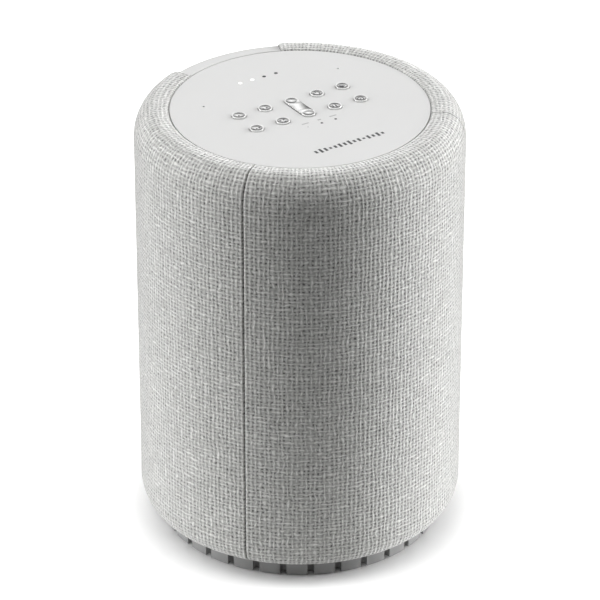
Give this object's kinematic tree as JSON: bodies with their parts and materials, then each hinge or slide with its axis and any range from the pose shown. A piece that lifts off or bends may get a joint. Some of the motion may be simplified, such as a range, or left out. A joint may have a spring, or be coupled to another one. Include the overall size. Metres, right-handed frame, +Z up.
{
  "type": "smart speaker",
  "caption": "Upright round smart speaker: woven cloth sides, satin top plate with glossy buttons and a volume rocker, fluted base ring, sockets in a rear spine.",
  "frame": {"origin": "centre of the round base on the surface that the speaker stands on", "axes": "+Z up, -Y towards the front, +X to the right of someone who faces the front"},
  "size_m": [0.14, 0.1396, 0.1952],
  "materials": {
    "fabric": "woven, matt",
    "black_plastic": "fine moulded",
    "light_plastic": "satin moulded",
    "button_metal": "polished, dished",
    "steel": "bright zinc",
    "silicone": "translucent",
    "circuit_board": "solder mask",
    "components": "moulded epoxy",
    "light_guide": "clear, frosted end",
    "rubber": "matt",
    "ring_plastic": "satin moulded",
    "magnet": "ferrite",
    "cone_paper": "coated paper",
    "copper": "enamelled wire",
    "spider_cloth": "varnished cloth",
    "dome_silk": "coated silk",
    "wadding": "loose polyester",
    "heatsink": "extruded",
    "connector_plastic": "moulded",
    "lead_sheath": "smooth sheath"
  },
  "bodies": {
    "housing": {"fabric_front": "fabric", "fabric_left": "fabric", "fabric_right": "fabric", "grille_shell": "black_plastic", "rear_spine": "light_plastic", "top_plate": "light_plastic", "top_frame": "black_plastic", "rocker_pin": "steel", "keypad_mat": "silicone", "control_board": "circuit_board", "control_board_parts": "components", "light_guides": "light_guide", "mic_boots": "rubber", "board_screws": "steel", "case_screws": "steel", "base_ring": "ring_plastic", "base_plate": "black_plastic", "rubber_foot": "rubber", "cabinet": "black_plastic", "cabinet_cap": "black_plastic", "cap_gasket": "rubber", "cap_grommet": "rubber", "driver_gaskets": "rubber", "driver_screws": "steel", "woofer_basket": "black_plastic", "woofer_front_plate": "steel", "woofer_magnet": "magnet", "woofer_yoke": "steel", "woofer_surround": "rubber", "woofer_spider": "spider_cloth", "tweeter_body": "black_plastic", "tweeter_surround": "dome_silk", "radiator_frames": "black_plastic", "radiator_surrounds": "rubber", "wadding": "wadding", "main_board": "circuit_board", "main_board_parts": "components", "heatsink": "heatsink", "wireless_module": "steel", "power_board": "circuit_board", "connector_panel": "black_plastic", "power_inlet": "connector_plastic", "line_in_jack": "connector_plastic", "mute_switch_body": "black_plastic", "internal_leads": "lead_sheath"},
    "button_1": {"button_1": "button_metal"},
    "button_2": {"button_2": "button_metal"},
    "button_3": {"button_3": "button_metal"},
    "button_4": {"button_4": "button_metal"},
    "button_5": {"button_5": "button_metal"},
    "button_6": {"button_6": "button_metal"},
    "button_7": {"button_7": "button_metal"},
    "button_8": {"button_8": "button_metal"},
    "volume_rocker": {"volume_rocker": "button_metal"},
    "woofer_piston": {"woofer_cone": "cone_paper", "voice_coil": "copper"},
    "tweeter_dome": {"tweeter_dome": "dome_silk"},
    "radiator_left": {"radiator_left": "cone_paper"},
    "radiator_right": {"radiator_right": "cone_paper"},
    "mute_slider": {"mute_slider": "black_plastic"}
  },
  "joints": [
    {"name": "button_1_press", "type": "slide", "parent": "housing", "child": "button_1", "axis": [0, 0, -1], "range_m": [0, 0.0006], "stiffness_N_per_m": 1500, "springref_m": -0.0003},
    {"name": "button_2_press", "type": "slide", "parent": "housing", "child": "button_2", "axis": [0, 0, -1], "range_m": [0, 0.0006], "stiffness_N_per_m": 1500, "springref_m": -0.0003},
    {"name": "button_3_press", "type": "slide", "parent": "housing", "child": "button_3", "axis": [0, 0, -1], "range_m": [0, 0.0006], "stiffness_N_per_m": 1500, "springref_m": -0.0003},
    {"name": "button_4_press", "type": "slide", "parent": "housing", "child": "button_4", "axis": [0, 0, -1], "range_m": [0, 0.0006], "stiffness_N_per_m": 1500, "springref_m": -0.0003},
    {"name": "button_5_press", "type": "slide", "parent": "housing", "child": "button_5", "axis": [0, 0, -1], "range_m": [0, 0.0006], "stiffness_N_per_m": 1500, "springref_m": -0.0003},
    {"name": "button_6_press", "type": "slide", "parent": "housing", "child": "button_6", "axis": [0, 0, -1], "range_m": [0, 0.0006], "stiffness_N_per_m": 1500, "springref_m": -0.0003},
    {"name": "button_7_press", "type": "slide", "parent": "housing", "child": "button_7", "axis": [0, 0, -1], "range_m": [0, 0.0006], "stiffness_N_per_m": 1500, "springref_m": -0.0003},
    {"name": "button_8_press", "type": "slide", "parent": "housing", "child": "button_8", "axis": [0, 0, -1], "range_m": [0, 0.0006], "stiffness_N_per_m": 1500, "springref_m": -0.0003},
    {"name": "volume_rock", "type": "hinge", "parent": "housing", "child": "volume_rocker", "pos_m": [0, 0, 0.1911], "axis": [1, 0, 0], "range_deg": [-3.5, 3.5], "stiffness_Nm_per_rad": 0.15},
    {"name": "woofer_stroke", "type": "slide", "parent": "housing", "child": "woofer_piston", "axis": [0, -1, 0], "range_m": [-0.004, 0.004], "stiffness_N_per_m": 1250, "deforming": ["woofer_surround", "woofer_spider"]},
    {"name": "tweeter_stroke", "type": "slide", "parent": "housing", "child": "tweeter_dome", "axis": [0, -1, 0], "range_m": [-0.0003, 0.0003], "stiffness_N_per_m": 6000, "deforming": ["tweeter_surround"]},
    {"name": "radiator_left_stroke", "type": "slide", "parent": "housing", "child": "radiator_left", "axis": [-1, 0, 0], "range_m": [-0.004, 0.004], "stiffness_N_per_m": 500, "deforming": ["radiator_surrounds"]},
    {"name": "radiator_right_stroke", "type": "slide", "parent": "housing", "child": "radiator_right", "axis": [1, 0, 0], "range_m": [-0.004, 0.004], "stiffness_N_per_m": 500, "deforming": ["radiator_surrounds"]},
    {"name": "mute_slide", "type": "slide", "parent": "housing", "child": "mute_slider", "axis": [0, 0, 1], "range_m": [0, 0.0025]}
  ]
}
